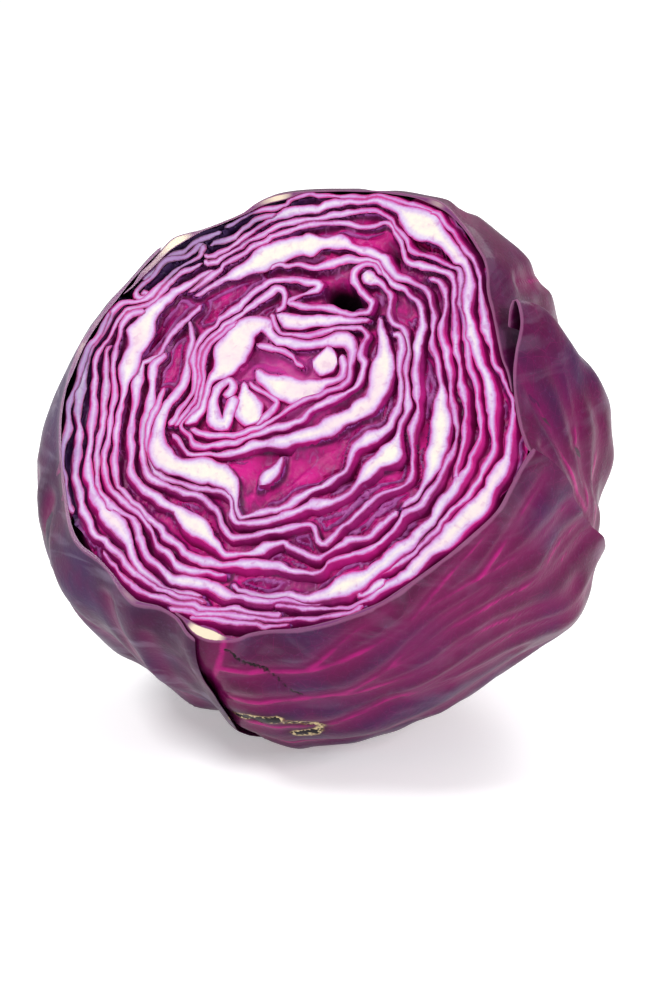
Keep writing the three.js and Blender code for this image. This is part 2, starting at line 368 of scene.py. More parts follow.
# each leaf's section on the cut face: strings of (right, up, thickness) in millimetres
HEART_LEAVES = [
    [[(19, 45.5, .8), (16, 48, 1.2), (12.5, 48.2, 1.5), (10.8, 45.5, 1.6), (11.5, 42, 1.5),
      (14.5, 39.5, 1.4), (17.5, 37.5, 1.3), (18.3, 35, 1.3), (17, 32.7, 1.4), (13.5, 32.2, 1.4),
      (10.5, 33, 1.2), (5, 33.6, 1.3), (0, 33.3, 1.4), (-5, 33.9, 1.4), (-7.3, 34.6, 1.2),
      (-5, 36.2, 1.2), (-1, 38, 1.6), (1, 39.7, 2), (0, 41.3, 2), (-4, 41.8, 2), (-9, 41.3, 1.8),
      (-13, 40.8, 1.8), (-16.5, 38, 1.8), (-19.3, 34.5, 1.6), (-22.5, 30.5, 1.5), (-26.5, 26.5, 1.3),
      (-30.3, 22, 1.2), (-31.7, 17, 1.2), (-31.2, 12, 1.2), (-30.3, 7, 1.2), (-30.2, 2, 1.1),
      (-33, -3, 1.1), (-34.8, -7.5, 1)]],
    [[(-9.8, 30.5, 1.3), (-8.5, 33.3, 1.7), (-9, 37, 2), (-11.3, 38.3, 1.7), (-14, 36.3, 1.8),
      (-17, 32.7, 1.8), (-20.8, 28.7, 1.4), (-24.8, 24.8, 1.2), (-28.6, 20.3, 1.1), (-30, 15, 1),
      (-29.5, 10, 1), (-28.8, 4, 1), (-28.7, 0, 1), (-31.6, -4.5, 1), (-33.2, -7.6, .9)]],
    [[(-9.5, 30, 1), (-6, 28.6, 4), (-1, 28.6, 5.2), (4, 29.2, 4.8), (9, 30.6, 3), (14, 30.2, 1.6),
      (17, 30.3, 1.2), (18.8, 31, .8)]],
    [[(-11, 29.6, .9), (-9.5, 26.6, 1), (-6, 24.6, 1), (0, 24.2, 1.1), (4, 24.9, 1.1), (8, 27.2, 1),
      (12, 28, 1), (17, 27.9, 1), (18.5, 26, 1), (17.6, 23, 1.1), (17.5, 20, 1.3), (19.2, 18, 1.5),
      (19.7, 14.5, 1.7), (18.3, 11, 1.9), (14.8, 7.5, 1.9), (11, 4.5, 1.9), (7, 1.7, 1.9), (4, -1.6, 1.9),
      (0, -3.9, 1.9), (-5, -6.1, 1.9), (-10, -8.5, 1.7), (-16, -11, 1.7), (-21, -12.6, 1.5),
      (-25, -12.4, 1.3), (-27.5, -10.3, 1.2), (-30, -8.9, 1), (-31.5, -7, 1), (-30, -4, 1),
      (-27.6, -1, 1), (-27.3, 4, 1), (-28.2, 10, 1), (-28.5, 15, 1), (-27.2, 19.5, 1),
      (-24, 23.3, 1), (-20.7, 26.7, 1)]],
    [[(-30, -6.5, .8), (-28, -4.8, 2.5), (-26, -2.5, 2), (-25.6, 3, 1.6), (-25, 8, 3.5), (-22, 12.5, 8),
      (-20.5, 18.5, 10), (-18, 24.5, 7.5), (-13, 26.2, 4.4), (-10, 23.6, 3), (-6, 21.8, 3.6),
      (0, 21.6, 3.4), (6, 22.8, 3.4), (11, 24.4, 3.2), (14, 23.8, 2.4), (15.6, 21, 1.4), (15.6, 17, 1.1),
      (15.6, 13.5, 1.1), (13.2, 9.6, 1.2), (9, 6.8, 1.1), (4.5, 4.8, 1.1), (1, 1.8, 1.3), (-3, -1.6, 1.6),
      (-7, -4.6, 1.6), (-12, -7, 1.6), (-17, -8.6, 1.4), (-23, -9.2, 1.3), (-28, -8, 1)]],
    [[(-12, 12.6, 1.6), (-9, 10.2, 5), (-4, 7.6, 8.6), (1, 6.9, 9.2), (6, 8.4, 6.6), (9.5, 10, 2.4),
      (13, 12.4, 1.2), (14, 16, 1.2), (12.8, 20, 1.2)],
     [(-14.2, 20.5, 1), (-9, 19.6, 1.6), (-3, 17.6, 1.8), (2, 14.8, 1.2)],
     [(4, 17.3, 2), (8, 17, 8), (11.8, 16.6, 3)]],
    [[(-18.6, 2.5, 2.2), (-18.4, 6.5, 2.4), (-20.4, 8, 2.6), (-22.3, 5, 3), (-22.6, 0, 3.2),
      (-21, -4.8, 3.4), (-18.2, -5, 3.4), (-17, -1, 3.2), (-17, 3, 2.4)]],
    [[(-15, 8, 1.5), (-13.6, 4, 5.6), (-11.6, -.6, 8), (-8.8, -3.6, 4)],
     [(-13, 9, .8), (-8, 5, 1), (-4, 2.5, 1.6), (-6, -1, 2), (-9, -4.5, 1)]],
]
for number, strips in enumerate(HEART_LEAVES, 1):
    mesh = leaf_blade(strips, 16, 0.9, number, sink=0.4, swell=0.6)
    node = f"heart_leaf_{min(number, 6):02d}"
    settled(mesh, f"heart_leaf_{number:02d}_blade", node, heart_skin)

# ---------------------------------------------------------------- head leaves
# The folded leaves of the head. Each has a thin blade and a thick pale midrib, and they
# are crumpled together, so the cut crosses them as long wavering bands.
HEAD_LEAVES = [
    [[(8, -57.7, 1), (18, -57, 1), (27, -56, .9), (34, -53, .9), (39, -48.7, 1.4), (43.5, -44.5, 2.6),
      (48, -39, 4), (52.5, -33, 4.6), (57.5, -26.8, 5.4), (61.6, -20, 5.6), (64.4, -13, 4.2),
      (66.2, -6, 2.4), (66.2, -1, 1.6), (65.6, 5, 1), (64, 12, .8), (60.8, 17.5, 1), (57.5, 21.5, 1),
      (55, 27, 1.1), (52.8, 33, 2), (51, 38, 1.8), (49, 43, 1), (47.7, 47.5, .8), (45.7, 52, .8),
      (42.2, 56.5, .8), (38.7, 60, .8), (34.7, 64, .9), (31, 66.8, .9), (26, 68.2, .9), (21, 69.7, .8),
      (15, 70.4, .7), (8, 70.1, .7), (2, 69.6, .7), (-4, 69.2, .8), (-9, 69, .8), (-12.5, 67.5, .9),
      (-14, 65.4, .8), (-20, 63.4, .9), (-24, 61.8, .8), (-28, 58.9, .8), (-32, 56.1, .8)]],
    [[(38.5, -47, 1.4), (36, -49, 2.6), (32.4, -51.7, 1.4), (31.6, -49.4, 1), (35, -45.7, .9),
      (40.5, -41.5, 1), (46, -36, 1), (50, -30, 1), (53.5, -24.5, 1), (56.5, -19.5, 1.1), (59, -14, 1.2),
      (61, -8, 1.2), (61, -3, 1.3), (60.5, 3, 1.8), (58.6, 10, 2.2), (55.8, 17, 2.2), (52.8, 22, 2.2),
      (50.2, 27, 2.6), (48.2, 32, 3), (46.6, 37, 2.4), (45.8, 42, 1.8), (45, 46, 1.6), (43, 50.7, 2),
      (40, 54.2, 3.8), (36, 57.7, 5.6), (31.5, 60.9, 7.4), (27, 63.4, 7.6), (23, 65.8, 5.4),
      (18, 68.2, 2.2), (13, 68.7, 1.5), (7, 68.3, 1.5), (2, 67.2, 1.7), (-3, 65.9, 2.2), (-8, 64.6, 2.5),
      (-13, 63, 2.3), (-17, 61.2, 1.5), (-19.5, 59, 1.2), (-22, 56.2, 1.2), (-24.5, 53.3, 1.2),
      (-27.5, 50.8, 1.2), (-31, 48, 1.1), (-34.5, 46, 1), (-36.3, 47, .9)]],
    [[(-6, -52.8, 1), (-3, -54.5, 1.2), (3, -55, 1.4), (10, -54.4, 1.8), (17, -53.8, 2), (23, -52.2, 3),
      (28, -49.3, 5.4), (33.5, -45.2, 3.8), (38, -40.5, 2.8), (42, -35.7, 2.8), (46, -30.4, 2.8),
      (49, -25.4, 3.2), (51.2, -20, 2.8), (54.4, -13.6, 1.8), (56.6, -7, 1.2), (57.4, -1, 1.2),
      (56, 6, 1.2), (53.6, 13, 1.2), (51, 19.5, 1.2), (48.4, 25.5, 1.2), (46, 31.3, 1), (44.3, 37, 1),
      (43.6, 42, 1), (42.8, 46, 1), (41, 49.3, 1), (37.5, 51.2, 1), (32, 52.5, 1), (28, 53.4, 1),
      (25.3, 55.3, 1.1), (24, 58.3, 1.1), (21.5, 61.2, 1.1), (18, 63.7, 1.1), (14, 65.8, 1.3),
      (8, 65.3, 1.5), (2, 63.7, 1.6), (-4, 62, 1.6), (-9, 60.6, 1.6), (-14, 59.2, 1.6),
      (-17.3, 57.2, 1.3), (-19.8, 54.8, 1.1), (-23.2, 52.4, 1.1), (-26.4, 49.4, 1.1), (-30.3, 46.2, 1.1),
      (-34, 43.9, 1.1), (-36, 44.9, 1)]],
    [[(53.2, -15, 1), (52.6, -9, 1), (53, -3, 1.1), (52, 4, 1.2), (50.3, 10, 1.2), (48.6, 16, 1.2),
      (47, 21, 1.2), (44.8, 26.5, 1.2), (43.2, 32, 1.1), (42.4, 37, 1), (42, 41, 1), (41, 45, 1.1),
      (38.5, 47.9, 1.5), (34, 49.2, 1.8), (28, 50, 1.8), (24.5, 51.7, 1.3), (22.9, 54.7, 1.2),
      (22, 58, 1.2), (19.5, 61.1, 1.2), (15.5, 62.3, 1.3), (11, 61, 1.3), (5, 61.3, 1.5), (-1, 60.6, 1.5),
      (-7, 58.9, 1.3), (-12, 57, 1.1), (-16, 55, 1.1), (-18.8, 52.7, 1.1), (-22, 50.2, 1.1),
      (-25, 47.4, 1.1), (-29, 44, 1.3), (-31.8, 40.7, 1.2), (-34.4, 37.5, 1.2), (-38, 34.6, 1)]],
    [[(-36, 33.5, 1), (-33, 36, 1.1), (-29, 40, 1.6), (-24.7, 42.3, 3.4), (-20.5, 45.2, 5.6),
      (-15.5, 49, 6.4), (-10, 51.4, 7), (-5, 53, 7), (-1, 54.2, 5), (4, 54.4, 4.2), (10, 53.2, 3.3),
      (15, 52.6, 3), (18.5, 50.6, 2.4), (21, 47.6, 1.7), (24, 46, 1.4), (28.5, 44.6, 1.3),
      (32, 43, 1.2), (34.6, 39.5, 1.2), (36.6, 35.3, 1.2), (37.8, 30, 1.2), (38.6, 25.5, 1.2),
      (40.6, 20, 1.2), (42.6, 15, 1.3), (44, 10, 2.5), (45, 5.5, 5.5), (45.4, 0, 7), (45.7, -6, 6.4),
      (45.4, -11, 4), (44.4, -16, 1.8), (42.8, -20.6, 1.4), (39.5, -24.3, 1.3)]],
    [[(-14.8, 44.6, 1.4), (-12, 46, 1.7), (-9.5, 45.6, 1.3), (-6, 46, 1.1), (-2, 46.4, 1.5), (2, 47.6, 2.4),
      (6, 48.6, 2), (10, 49.8, 1.4), (14, 50.2, 1.3), (17.3, 48.6, 1.2), (20, 45.8, 1.2), (24, 43.2, 1.3),
      (27.5, 41.5, 1.3), (30, 39, 1.3), (32.6, 36, 1.3), (34.2, 31, 2), (34.2, 26, 2.6), (34.2, 21, 1.6),
      (35.2, 16, 1.2), (36.8, 11, 1.2), (37.6, 5, 1.2), (37.2, 0, 1.2), (38, -4, 1.2), (39, -9, 1.2),
      (39.6, -13, 1.3), (38.8, -17, 1.3), (36, -19.2, 1.3), (31, -22, 1.2), (28.2, -26, 1.2),
      (26, -29.2, 1.2), (23, -31.6, 1.2), (20.5, -35, 1.2), (18.2, -37.6, 1.3), (15.8, -35, 1.2),
      (14, -32.6, 1.2), (10, -33, 1.3), (5, -34.9, 1.4), (0, -37, 1.4), (-5, -38.4, 1.3), (-9.5, -38.7, 1.2),
      (-12.7, -35.5, 1.2), (-15.6, -31.2, 1.2), (-20, -28, 1.3), (-26, -27, 1.5), (-32, -25.9, 1.5),
      (-37, -23.8, 1.6), (-40.2, -19.5, 1.7), (-41.8, -14, 1.5), (-42.4, -8, 1.4), (-41.8, -2, 1.6),
      (-42.6, 4, 2.6), (-43.2, 10, 1.4), (-41.5, 15, 1)]],
    [[(33, 45.6, 1), (37, 44.6, 1.1), (39, 41.7, 1.1), (39.9, 37, 1.1), (40.2, 32, 1.1), (40.8, 27.5, 1.3),
      (43, 22, 1.8), (45, 17, 1.6), (46.6, 12, 1.3), (48.3, 6, 1.2), (50.2, 0, 1.2), (50.2, -6, 1.2),
      (48.6, -12, 1.2), (46.8, -18, 1.2), (44.2, -23.4, 1.2), (39.8, -27.4, 1.3), (37.2, -32, 1.3),
      (34.6, -36.3, 1.3), (29, -39.3, 1.3), (24, -41.8, 1.3), (20.8, -44.8, 1.3), (16, -47.3, 1.5),
      (10, -47, 2.2), (5, -45.9, 3.2), (0, -46.6, 2.8), (-6, -47.3, 2.2), (-11, -47.3, 1.8),
      (-16, -47.2, 1.6), (-21, -45.4, 1.8), (-27, -42, 1.8), (-31, -38.2, 1.6), (-36, -34.8, 1.5),
      (-42, -31, 1.4), (-46.2, -26.8, 1.5), (-48.6, -21, 1.6), (-49.6, -14, 1.8), (-50.2, -7, 2),
      (-50.8, 0, 2.2), (-50.8, 8, 4.4), (-50.6, 15.5, 7.6), (-49.7, 21.5, 8.2), (-48, 26.7, 6),
      (-44.6, 31.4, 2.8), (-40.5, 35.6, 2.2), (-36, 39, 2.2), (-32.4, 42, 1.6)]],
    [[(14.4, 46.6, 1.6), (15.4, 44, 3.6), (18, 43.4, 2), (20.2, 42, 1.2), (22.2, 40, 1.2), (23.4, 37, 1.2),
      (23.6, 34, 1.2), (25.2, 31.3, 1.3), (28.4, 29.6, 1.3), (30.5, 25, 1.3), (31.7, 20, 1.2),
      (32.8, 15, 1.2), (34, 10, 1.3), (34.4, 5, 1.4), (34.2, 0, 1.6), (34, -5, 3), (32, -9.3, 6.4),
      (28.7, -12.5, 6), (25.3, -18.6, 2), (21, -24, 1.4), (16, -26, 2.4), (10, -28.2, 1.9),
      (5, -31, 1.5), (0, -33.3, 1.5), (-5, -34.6, 1.4), (-8.8, -34, 1.5), (-10.8, -30, 1.2),
      (-12.6, -27, 1.2), (-16, -26, 1.2), (-22, -25.3, 1.2), (-29, -24.6, 1.2), (-35, -22.8, 1.2),
      (-38.6, -18, 1.2), (-40.2, -12, 1.2), (-40.8, -6, 1.2), (-39.4, 0, 1), (-38, 4, .8)]],
    [[(38, -25.6, 1.2), (35.6, -27.5, 1.2), (33.2, -31, 1.2), (31, -34.2, 1.2), (26, -36, 1.3),
      (22, -38.5, 1.3), (18, -41.8, 1.5), (13, -41.4, 1.6), (9, -40.4, 1.8), (6.8, -38.8, 1.7),
      (3, -40.6, 1.8), (-1, -42.9, 2), (-6, -44.1, 1.8), (-10, -44, 1.6), (-14.4, -41, 4),
      (-20, -36.6, 7), (-26.5, -33.7, 3.8), (-32, -30.4, 1.8), (-37, -27.6, 1.6), (-42, -24, 1.5),
      (-44.4, -19, 1.5), (-45.4, -13, 1.7), (-46, -6, 1.7), (-46.6, 0, 1.5), (-47.5, 6, 2.4),
      (-47, 10.6, 1.4), (-44.6, 12, 1.2), (-42, 17, 1.2), (-39.5, 22, 1.2), (-36, 27, 1.2),
      (-33.4, 31, 1.2)]],
    [[(-8, -50.4, 1), (-13, -50.2, 1.4), (-19, -50.5, 1.5), (-25, -47.4, 1.5), (-30, -43.5, 1.4),
      (-34, -38.8, 1.4), (-38.6, -35.2, 1.3), (-44.6, -31.6, 1.3), (-48.6, -27.8, 1.3),
      (-51.2, -21.6, 1.4), (-52.2, -14, 1.4), (-52.8, -7, 1.4), (-53.5, 0, 1.4), (-55, 8, 1.2),
      (-56.3, 14, 1.2), (-56.2, 20, 1.1), (-54.5, 25.6, 1), (-50.5, 26.9, 1)]],
    [[(22, -54.6, .9), (10, -56.2, 1.1), (2, -57, 1.2), (-5, -56.5, 1.6), (-10, -54.3, 3),
      (-17, -53.8, 3), (-23, -53, 2.6), (-29, -50.2, 1.5), (-33, -46.2, 1.3), (-36.4, -41.2, 1.3),
      (-40.4, -36.8, 1.2), (-46.6, -33.7, 1.2), (-50.6, -30, 1.2), (-53.4, -24, 1.3), (-54.6, -16, 1.4),
      (-55.4, -8, 1.4), (-56.4, 0, 1.4), (-57.6, 8, 1.3), (-58.8, 13.6, 1), (-58, 15.2, .9)]],
    [[(-14, -57.6, 1), (-24, -56.3, 1.4), (-31, -53.3, 1.6), (-36, -48.7, 2), (-40, -43.2, 3.2),
      (-45, -37.8, 5.8), (-50, -34, 3.2), (-54.2, -28, 2.1), (-56.9, -20, 1.9), (-58, -12, 1.8),
      (-58.8, -4, 1.6), (-60.4, 4, 1.5), (-61.8, 11, 1.4), (-60, 18, 1.2), (-58, 24, 1.2),
      (-56, 27.2, 1.2), (-51.8, 28.4, 1.2), (-48, 31.4, 1.2), (-44.8, 36, 1.2), (-42.4, 39.8, 1.2),
      (-38.4, 42.3, 1.2), (-36.4, 44, 1.1)]],
    [[(-12, -59.3, 1), (-20, -58.4, 1.1), (-28, -56.6, 1.1), (-35, -52.8, 1.3), (-42, -47.3, 1.8),
      (-48, -43.4, 1.8), (-53, -38.8, 2), (-57, -31.6, 2), (-59.6, -24, 1.8), (-61, -16, 1.8),
      (-62.4, -8, 1.7), (-64.2, 0, 2.6), (-64.8, 8, 1.5), (-63.8, 15, 1.2), (-61.6, 22, 1.2),
      (-59.8, 27, 1.3), (-56.2, 29.6, 1.5), (-52.3, 30.2, 1.2), (-49, 33.4, 1.2), (-46.7, 37.3, 1.2),
      (-44.2, 41.4, 1.2), (-40.2, 44.6, 1.1), (-37.6, 46.6, 1.1), (-36.6, 49.8, 1)],
     [(-58, -38, .8), (-62.3, -28, 1), (-64.8, -18, 1.2), (-65.8, -8, 1.3), (-66.2, 1, 1.4),
      (-65.8, 8, 1.3), (-64.4, 15, 1.1), (-62.2, 22, 1), (-60.4, 26.5, .8)],
     [(-52.4, 37.6, 1), (-49.6, 41.6, 1.2), (-46.6, 45.2, 1.3), (-43.4, 47.8, 1.3), (-39.6, 50.4, 1.3),
      (-35.6, 52.8, 1.2), (-32.4, 54.6, 1)],
     [(-35.4, 49.6, .8), (-31.6, 51.8, 1.1), (-28, 54, 1.1), (-25, 56.8, 1.1), (-21.6, 60, 1),
      (-17, 62.2, .8)],
     [(-53, 33, 1), (-51.6, 33.6, 1), (-51.2, 32, 1), (-53.4, 31.6, 1), (-54.6, 33.6, 1),
      (-52.6, 35.4, 1), (-50, 38.4, 1.1), (-48.3, 42.4, 1.1), (-45, 45.2, 1), (-40.6, 47.2, 1),
      (-37, 50.3, 1.2)]],
    [[(-36.6, 25.6, 1), (-34, 22, 1.4), (-33.4, 17, 1.6), (-33.3, 12, 1.8), (-33.2, 6, 2), (-35, 1, 2.6),
      (-37.8, -3, 3.4), (-37.6, -8, 4), (-37, -13, 5), (-34.4, -17.8, 5.6), (-29, -19.9, 6),
      (-22, -20.2, 6.6), (-16, -21, 6.6), (-12.6, -23.5, 4.6), (-10.4, -27, 2.6), (-8.8, -30.6, 2),
      (-6.6, -32.4, 1.7), (-3, -31.4, 1.6), (1, -30.2, 1.5), (5, -28.2, 1.5), (9, -24.6, 1.5),
      (13, -21.8, 1.5), (18, -18.5, 1.5), (21, -14.5, 1.4), (21.6, -10.5, 1.5), (22.4, -7.5, 1.8),
      (25.4, -4.7, 3), (29, -2.6, 2.6), (31.2, 1, 2), (31.7, 6, 1.6), (31.4, 11, 1.4), (30.4, 17, 1.3),
      (29.6, 22, 1.3), (28.4, 26.6, 1.3), (26, 28.2, 1.2)]],
    [[(21.4, 33, 1), (22, 29.6, 1.6), (23.6, 25, 4), (25, 20, 6), (25.2, 14, 7), (24.4, 8, 7.4),
      (21.2, 3.3, 6.6), (17, 0.3, 6), (12, -3, 5.4), (7, -6, 4.8), (1, -8.2, 3.6), (-6, -10.7, 2.5),
      (-12, -12.9, 1.8), (-18, -14.8, 1.3), (-24, -15.4, 1.1), (-28, -14, 1.1), (-30.3, -11.8, 1),
      (-33, -10.2, .9)],
     [(1.2, -13, .8), (.2, -16.5, 3.6), (-1.6, -20, 5.2), (-3.4, -23, 1.6)]],
    [[(11, -59.8, .9), (4, -60.4, 1.1), (-4, -60.3, 1.3), (-12, -61, 1.2), (-20, -60.3, 1.1),
      (-30, -59, 1), (-38, -54.5, 1.1), (-46, -47.5, 1.1)],
     [(34, -54.6, .8), (28, -57.8, .8), (20, -60.2, .8), (10, -61.4, .8), (4, -62.2, 1), (-6, -62.3, 1.2),
      (-14, -62.8, 1.1), (-22, -61.7, 1)],
     [(14, -63, .8), (7, -63.9, .9), (0, -64, 1.1), (-8, -64, 1.1), (-16, -64, 1)]],
]
head_skin = leaf_material("head_leaf_flesh", (188, 10, 124), (128, 8, 92), (202, 184, 214))
for number, strips in enumerate(HEAD_LEAVES, 1):
    mesh = leaf_blade(strips, 18, 1.0, 20 + number, sink=0.9, swell=0.7)
    node = f"head_leaf_{min(number, 14):02d}"
    settled(mesh, f"head_leaf_{number:02d}_blade", node, head_skin)

# ---------------------------------------------------------------- crumpled blades between
# The leaves are imported solid: just under the cut the next blade bulges into every gap.
# Its skin shows there as a shallow valley, palest where it leaves the cut edges, and painted darker as
# painted shade the deeper the valley sinks.
def gap_from(lines, x, y):
    """How far each face point lies from the nearest cut leaf edge."""
    knots = np.vstack(lines)
    tree = kdtree.KDTree(len(knots))
    for i, knot in enumerate(knots):
        tree.insert((knot[0], knot[1], 0), i)
    tree.balance()
    near = [tree.find((a, b, 0)) for a, b in zip(x, y)]
    at = np.array([n[1] for n in near])
    return np.array([n[2] for n in near]) - knots[at, 2] / 2


# deeper hollows: right, up, half width, half height, extra depth
HOLLOWS = [
    (9, 38.5, 5.5, 3, 10), (24, 54, 4, 3, 6), (-38, 49, 4, 1.6, 4), (-57, 33, 3, 3, 4),
    (-10, 56, 9, 1.6, 5), (-27, 56, 5, 1.4, 4), (-38, -52, 10, 2, 4), (52, 38, 3, 7, 4),
    (8, -14, 12, 5, 2.2), (-13, 17, 6, 3, 1.5), (14, 62.5, 6, 1.2, 2), (54, 10, 2, 9, 3),
]
cut_lines = [drawn(knots, 0.35) for strips in HEART_LEAVES + HEAD_LEAVES for knots in strips]
bm = bmesh.new()
bmesh.ops.create_grid(bm, x_segments=218, y_segments=218, size=1)
bmesh.ops.solidify(bm, geom=bm.faces[:], thickness=1)
bed_mesh, co = corners_of(bm, "leaf_folds")
under = co[:, 2] > 0.5 if co[:, 2].max() > 0.5 else co[:, 2] < -0.5
turn = np.arctan2(co[:, 1], co[:, 0])
square = np.maximum(np.abs(co[:, 0]), np.abs(co[:, 1]))
away = square * (around(FACE_EDGE, np.degrees(turn)) - 0.8)
x = WHORL[0] + away * np.cos(turn)
y = WHORL[1] + away * np.sin(turn)
gap = np.maximum(gap_from(cut_lines, x, y), -0.4)
crease = wave(x, y, 0, 14, 5)
heart = np.exp(-((x + 4) ** 2 + (y - 8) ** 2) / 500)
floor_depth = (2.9 + 1.0 * crease) * (1 - 0.45 * heart)
for at_x, at_y, wide, high, extra in HOLLOWS:
    floor_depth += extra * 1.15 * np.exp(-((x - at_x) / wide) ** 2 - ((y - at_y) / high) ** 2)
ripple = np.clip(gap + 0.45 * wave(x, y, 0, 9, 8), 0, 4)
folded = smooth(gap, 0.9, 1.6) * (1 - heart) * smooth(wave(x, y, 0, 22, 9), -0.5, -0.2)
ridge = (0.5 + 0.5 * np.cos(ripple * FULL_TURN / 2.3)) * folded
valley = floor_depth * (1 - np.exp(-np.maximum(gap, 0) / (0.75 + 0.2 * crease))) * (1 - 0.5 * ridge)
x, y = crinkled(x, y)
depth = np.where(under, 14.0, 0.8 + valley + (gap < -0.05) * 1.2)
placed(bed_mesh, x, y, depth, gap=gap, drop=depth, heart=heart, bruise=bruised(x, y), ridge=ridge)

fold_shader, fold_place, fold_skin = new_material("leaf_fold_skin")
fold_gap = attribute(fold_place, "gap")
fold_drop = attribute(fold_place, "drop")
fold_grain = noise(fold_place, 700.0, 3.0)
fold_cloud = noise(fold_place, 110.0, 3.0, 0.5)
fold_hue = noise(fold_place, 40.0, 2.0)
edge = fold_gap + (fold_cloud - 0.5) * 0.7 + (fold_grain - 0.5) * 0.3
near = blend(ramp(edge, 0.0, 0.4), colour(146, 62, 150), colour(92, 4, 72))
fold_fray = noise(fold_place, 380.0, 4.0, 1.0, (1.0, 1.0, 0.4))
mottle = ramp(fold_hue * 0.35 + fold_cloud * 0.35 + fold_fray * 0.3, 0.42, 0.6)
far = blend(mottle, colour(198, 14, 130), colour(124, 8, 92))
tone = blend(ramp(edge, 0.6, 1.5), near, far)
crest = attribute(fold_place, "ridge") + (fold_cloud - 0.5) * 0.5
tone = blend(ramp(crest, 0.35, 0.6), tone, colour(128, 14, 96))
tone = blend(ramp(crest, 0.5, 0.8) * 0.5, tone, colour(172, 92, 172))
blush = ramp(attribute(fold_place, "heart") * 1.2 + (fold_cloud - 0.5) * 1.2, 0.45, 1.0)
tone = blend(ramp(fold_fray, 0.55, 0.72) * 0.4, tone, colour(206, 110, 190))
tone = blend(blush * 0.55, tone, colour(196, 66, 158))
fold_bruise = ramp(attribute(fold_place, "bruise") + (fold_cloud - 0.5) * 0.8, 0.3, 0.9)
tone = blend(fold_bruise, tone, colour(62, 34, 84))
# painted shade: the folds are painted darker, to near-black, the deeper they lie below the cut, most of all
# in the deeper hollows
tone = blend(ramp(fold_drop, 3.2, 8.5), tone, colour(34, 4, 28))
feed(tone, fold_shader.inputs["Base Color"])
fold_height = fold_grain * 0.4 + fold_cloud
feed(fold_place.node("ShaderNodeBump", Height=fold_height, Strength=0.7, Distance=0.001),
     fold_shader.inputs["Normal"])
fold_shader.inputs["Roughness"].default_value = 0.5
fold_shader.inputs["Specular IOR Level"].default_value = 0.3
settled(bed_mesh, "heart_leaf_folds", "heart_leaf_01", fold_skin)

# ---------------------------------------------------------------- wrapper leaves
# The outermost leaves, spread round the whole head: waxy, dark purple, thin at the cut
# edge, with branching magenta veins that run from the midrib low on the left.
WRAPPERS = [
    [[(-20, -63.5, 1), (-17, -65, 1.2), (-13, -67.5, 3.6), (-9, -68.6, 4), (-5, -69.2, 2.4), (-2, -69.3, 1.2),
      (0, -68.7, .8), (3, -67, .8), (8, -65.4, .8), (15, -64.2, .9), (22, -62.2, 1.3), (28, -59.6, 1.5),
      (34, -56.4, 1.5), (40, -52.3, 1.2), (48, -44.6, 1), (55, -37.4, .9), (62, -29, .9),
      (66.5, -22.6, .9), (69, -15, 1), (71.2, -8, 1), (73.4, -3, 1)]],
    [[(72.6, -4, .9), (71, -2, .9), (68, 4, .9), (65.6, 11, .9), (63.8, 18, .9), (63, 26, .8),
      (63, 34, .8), (61, 40.3, .8), (59.5, 41.5, .7), (58.9, 38.3, .7), (59.4, 33, .6)]],
    [[(-49.5, 48, 1), (-52.5, 43.5, 1.2), (-56, 37.5, 1.2), (-59.5, 31.4, 1.5), (-62.3, 26, 1.8),
      (-64.9, 20, 2), (-66.9, 14, 2), (-68, 7, 1.6), (-68.7, 0, 1.1), (-68.3, -7, 1), (-67, -14, 1),
      (-65.4, -20, 1), (-63.4, -26, 1), (-60.9, -33, 1.2), (-58, -40, 1.4), (-55.3, -44.5, 1.4),
      (-52, -47.6, 1.3), (-47, -50.2, 1.1), (-42, -54, 1.2), (-37.5, -58.4, 1.7), (-33, -61.6, 1.9),
      (-30, -62.2, 1.5), (-25, -62.6, 1.2), (-20, -64.6, 1.1), (-17.5, -66.6, 1), (-15.4, -68.8, .9),
      (-12.6, -70.6, .8)]],
    [[(64, 13.4, .7), (61.8, 19, .8), (59.5, 23, .8), (57.5, 28, .8), (55.6, 33, .8), (53.8, 37.6, .8),
      (52, 41.6, .8), (50.9, 45, .8), (50.2, 49, .8), (48.4, 53.2, .8), (45.7, 56.8, .8), (42.8, 60.4, .9),
      (39.2, 64, 1.1), (35.2, 67.4, 1.6), (31, 69.6, 1.9), (26, 70.9, 1.7), (20, 71.6, 1.1), (13, 71.8, .9),
      (5, 71.4, .8), (-3, 70.6, .8), (-10, 69.6, .9), (-15, 67.8, 2.4), (-19, 66.4, 3), (-23, 64.2, 1.8),
      (-27, 60.8, .9), (-33, 57.2, .9), (-38, 54.6, .9), (-42, 52.4, 2.4), (-45.5, 50.2, 3.6),
      (-48, 47.2, 3.2), (-50.8, 42.6, 2.4), (-53.4, 39, 1.8), (-55.4, 35, 1), (-57.8, 32, .8)]],
]

